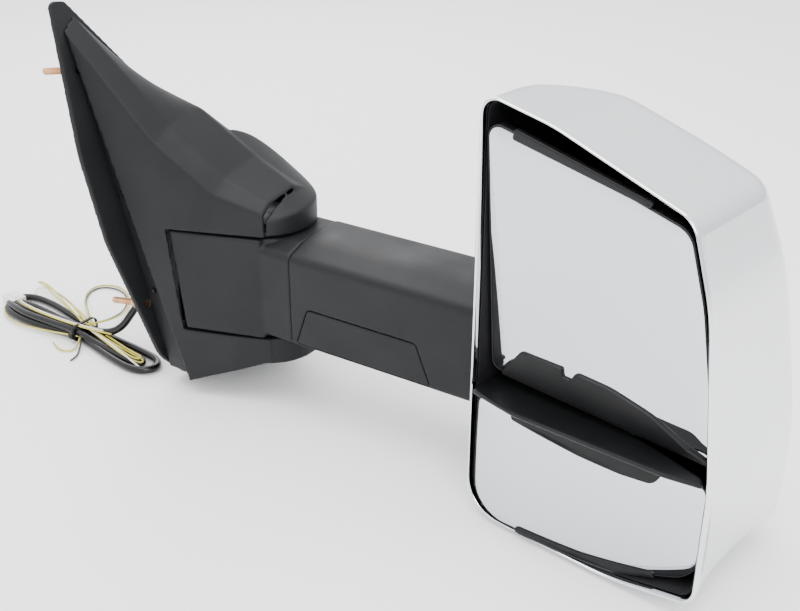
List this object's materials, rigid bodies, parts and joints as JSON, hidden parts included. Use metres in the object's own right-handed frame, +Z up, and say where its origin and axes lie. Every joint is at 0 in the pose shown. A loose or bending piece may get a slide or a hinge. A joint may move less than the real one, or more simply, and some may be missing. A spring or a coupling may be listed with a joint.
{
  "type": "car side mirror",
  "caption": "Extended towing side mirror: chrome head with a flat and a convex glass, on a telescoping black arm that folds at a triangular door mount.",
  "frame": {"origin": "on the gasket's door-side face, in line with the arm's centre", "axes": "+X outboard along the arm, +Y forward in the direction of travel, +Z up; the glasses face -Y"},
  "size_m": [0.8104, 0.2313, 0.3518],
  "materials": {
    "bronze": "sintered bronze bush",
    "casting": "die-cast aluminium",
    "chrome_plate": "bright chrome plating on moulded plastic",
    "film": "amber heater film",
    "foam": "closed-cell foam gasket",
    "grey_plastic": "grey acetal",
    "mirror_glass": "first-surface silvered glass",
    "natural_nylon": "natural nylon",
    "plated_stud": "yellow zinc-plated thread",
    "rubber": "moulded rubber",
    "satin_black": "satin moulded black",
    "sheath": "glossy black sheath with coloured wires",
    "steel": "turned steel",
    "textured_black": "fine leather-like grain, unpainted black",
    "zinc": "zinc-plated screw steel"
  },
  "bodies": {
    "base": {"door_gasket": "foam", "mounting_plate": "textured_black", "mounting_studs": "plated_stud", "sail_cover": "textured_black", "cover_screws": "zinc", "upper_pivot_lug": "casting", "lower_pivot_lug": "casting", "pivot_shaft": "steel", "pivot_nut": "zinc", "thrust_washer": "grey_plastic", "spring_washer": "grey_plastic", "harness_grommet": "rubber", "harness_lead": "sheath", "harness_hank": "sheath", "harness_tie": "satin_black", "harness_connector": "natural_nylon"},
    "arm": {"arm_tail": "textured_black", "lower_bush": "bronze", "upper_bush": "bronze", "detent_spring": "steel", "arm_shell": "textured_black", "arm_service_panel": "textured_black", "rod_guide": "casting", "upper_slide_rod": "steel", "lower_slide_rod": "steel"},
    "head": {"chrome_shell": "chrome_plate", "rim_liner": "satin_black", "divider_shelf": "satin_black", "slide_carriage": "grey_plastic", "upper_rod_bushes": "grey_plastic", "lower_rod_bushes": "grey_plastic", "upper_frame": "satin_black", "lower_frame": "satin_black", "upper_actuator_case": "satin_black", "upper_actuator_cover": "satin_black", "upper_motors": "steel", "lower_actuator_case": "satin_black", "lower_actuator_cover": "satin_black", "lower_motors": "steel"},
    "upper_cradle": {"upper_gimbal": "steel"},
    "upper_mirror": {"upper_glass": "mirror_glass", "upper_heater_film": "film", "upper_holder": "satin_black"},
    "upper_tilt_screw": {"upper_tilt_plunger": "natural_nylon"},
    "upper_pan_screw": {"upper_pan_plunger": "natural_nylon"},
    "lower_cradle": {"lower_gimbal": "steel"},
    "lower_mirror": {"lower_glass": "mirror_glass", "lower_heater_film": "film", "lower_holder": "satin_black"},
    "lower_tilt_screw": {"lower_tilt_plunger": "natural_nylon"},
    "lower_pan_screw": {"lower_pan_plunger": "natural_nylon"}
  },
  "joints": [
    {"name": "arm_fold", "type": "hinge", "parent": "base", "child": "arm", "pos_m": [0.103, 0, 0], "axis": [0, 0, 1], "range_deg": [-65, 45]},
    {"name": "head_slide", "type": "slide", "parent": "arm", "child": "head", "axis": [1, 0, 0], "range_m": [-0.06, 0]},
    {"name": "upper_tilt", "type": "hinge", "parent": "head", "child": "upper_cradle", "pos_m": [0.46062, -0.06857, 0.1054], "axis": [0.99, -0.1409, 0], "range_deg": [-8, 3]},
    {"name": "upper_pan", "type": "hinge", "parent": "upper_cradle", "child": "upper_mirror", "pos_m": [0.46062, -0.06857, 0.1054], "axis": [-0.0111, -0.0777, 0.9969], "range_deg": [-6, 6]},
    {"name": "upper_tilt_plunger_slide", "type": "slide", "parent": "head", "child": "upper_tilt_screw", "axis": [0.1405, 0.987, 0.0785], "range_m": [-0.00457, 0.00178]},
    {"name": "upper_pan_plunger_slide", "type": "slide", "parent": "head", "child": "upper_pan_screw", "axis": [0.1405, 0.987, 0.0785], "range_m": [-0.00345, 0.00345]},
    {"name": "lower_tilt", "type": "hinge", "parent": "head", "child": "lower_cradle", "pos_m": [0.45907, -0.06531, -0.0646], "axis": [0.9998, -0.0192, 0], "range_deg": [-5, 5]},
    {"name": "lower_pan", "type": "hinge", "parent": "lower_cradle", "child": "lower_mirror", "pos_m": [0.45907, -0.06531, -0.0646], "axis": [0, 0, 1], "range_deg": [-10, 2]},
    {"name": "lower_tilt_plunger_slide", "type": "slide", "parent": "head", "child": "lower_tilt_screw", "axis": [0.0192, 0.9998, 0], "range_m": [-0.00237, 0.00237]},
    {"name": "lower_pan_plunger_slide", "type": "slide", "parent": "head", "child": "lower_pan_screw", "axis": [0.0192, 0.9998, 0], "range_m": [-0.00101, 0.00464]}
  ],
  "couplings": [
    {"joint": "upper_tilt_plunger_slide", "follows": "upper_tilt", "m_per_rad": 0.032},
    {"joint": "upper_pan_plunger_slide", "follows": "upper_pan", "m_per_rad": -0.032},
    {"joint": "lower_tilt_plunger_slide", "follows": "lower_tilt", "m_per_rad": 0.026},
    {"joint": "lower_pan_plunger_slide", "follows": "lower_pan", "m_per_rad": -0.026}
  ]
}
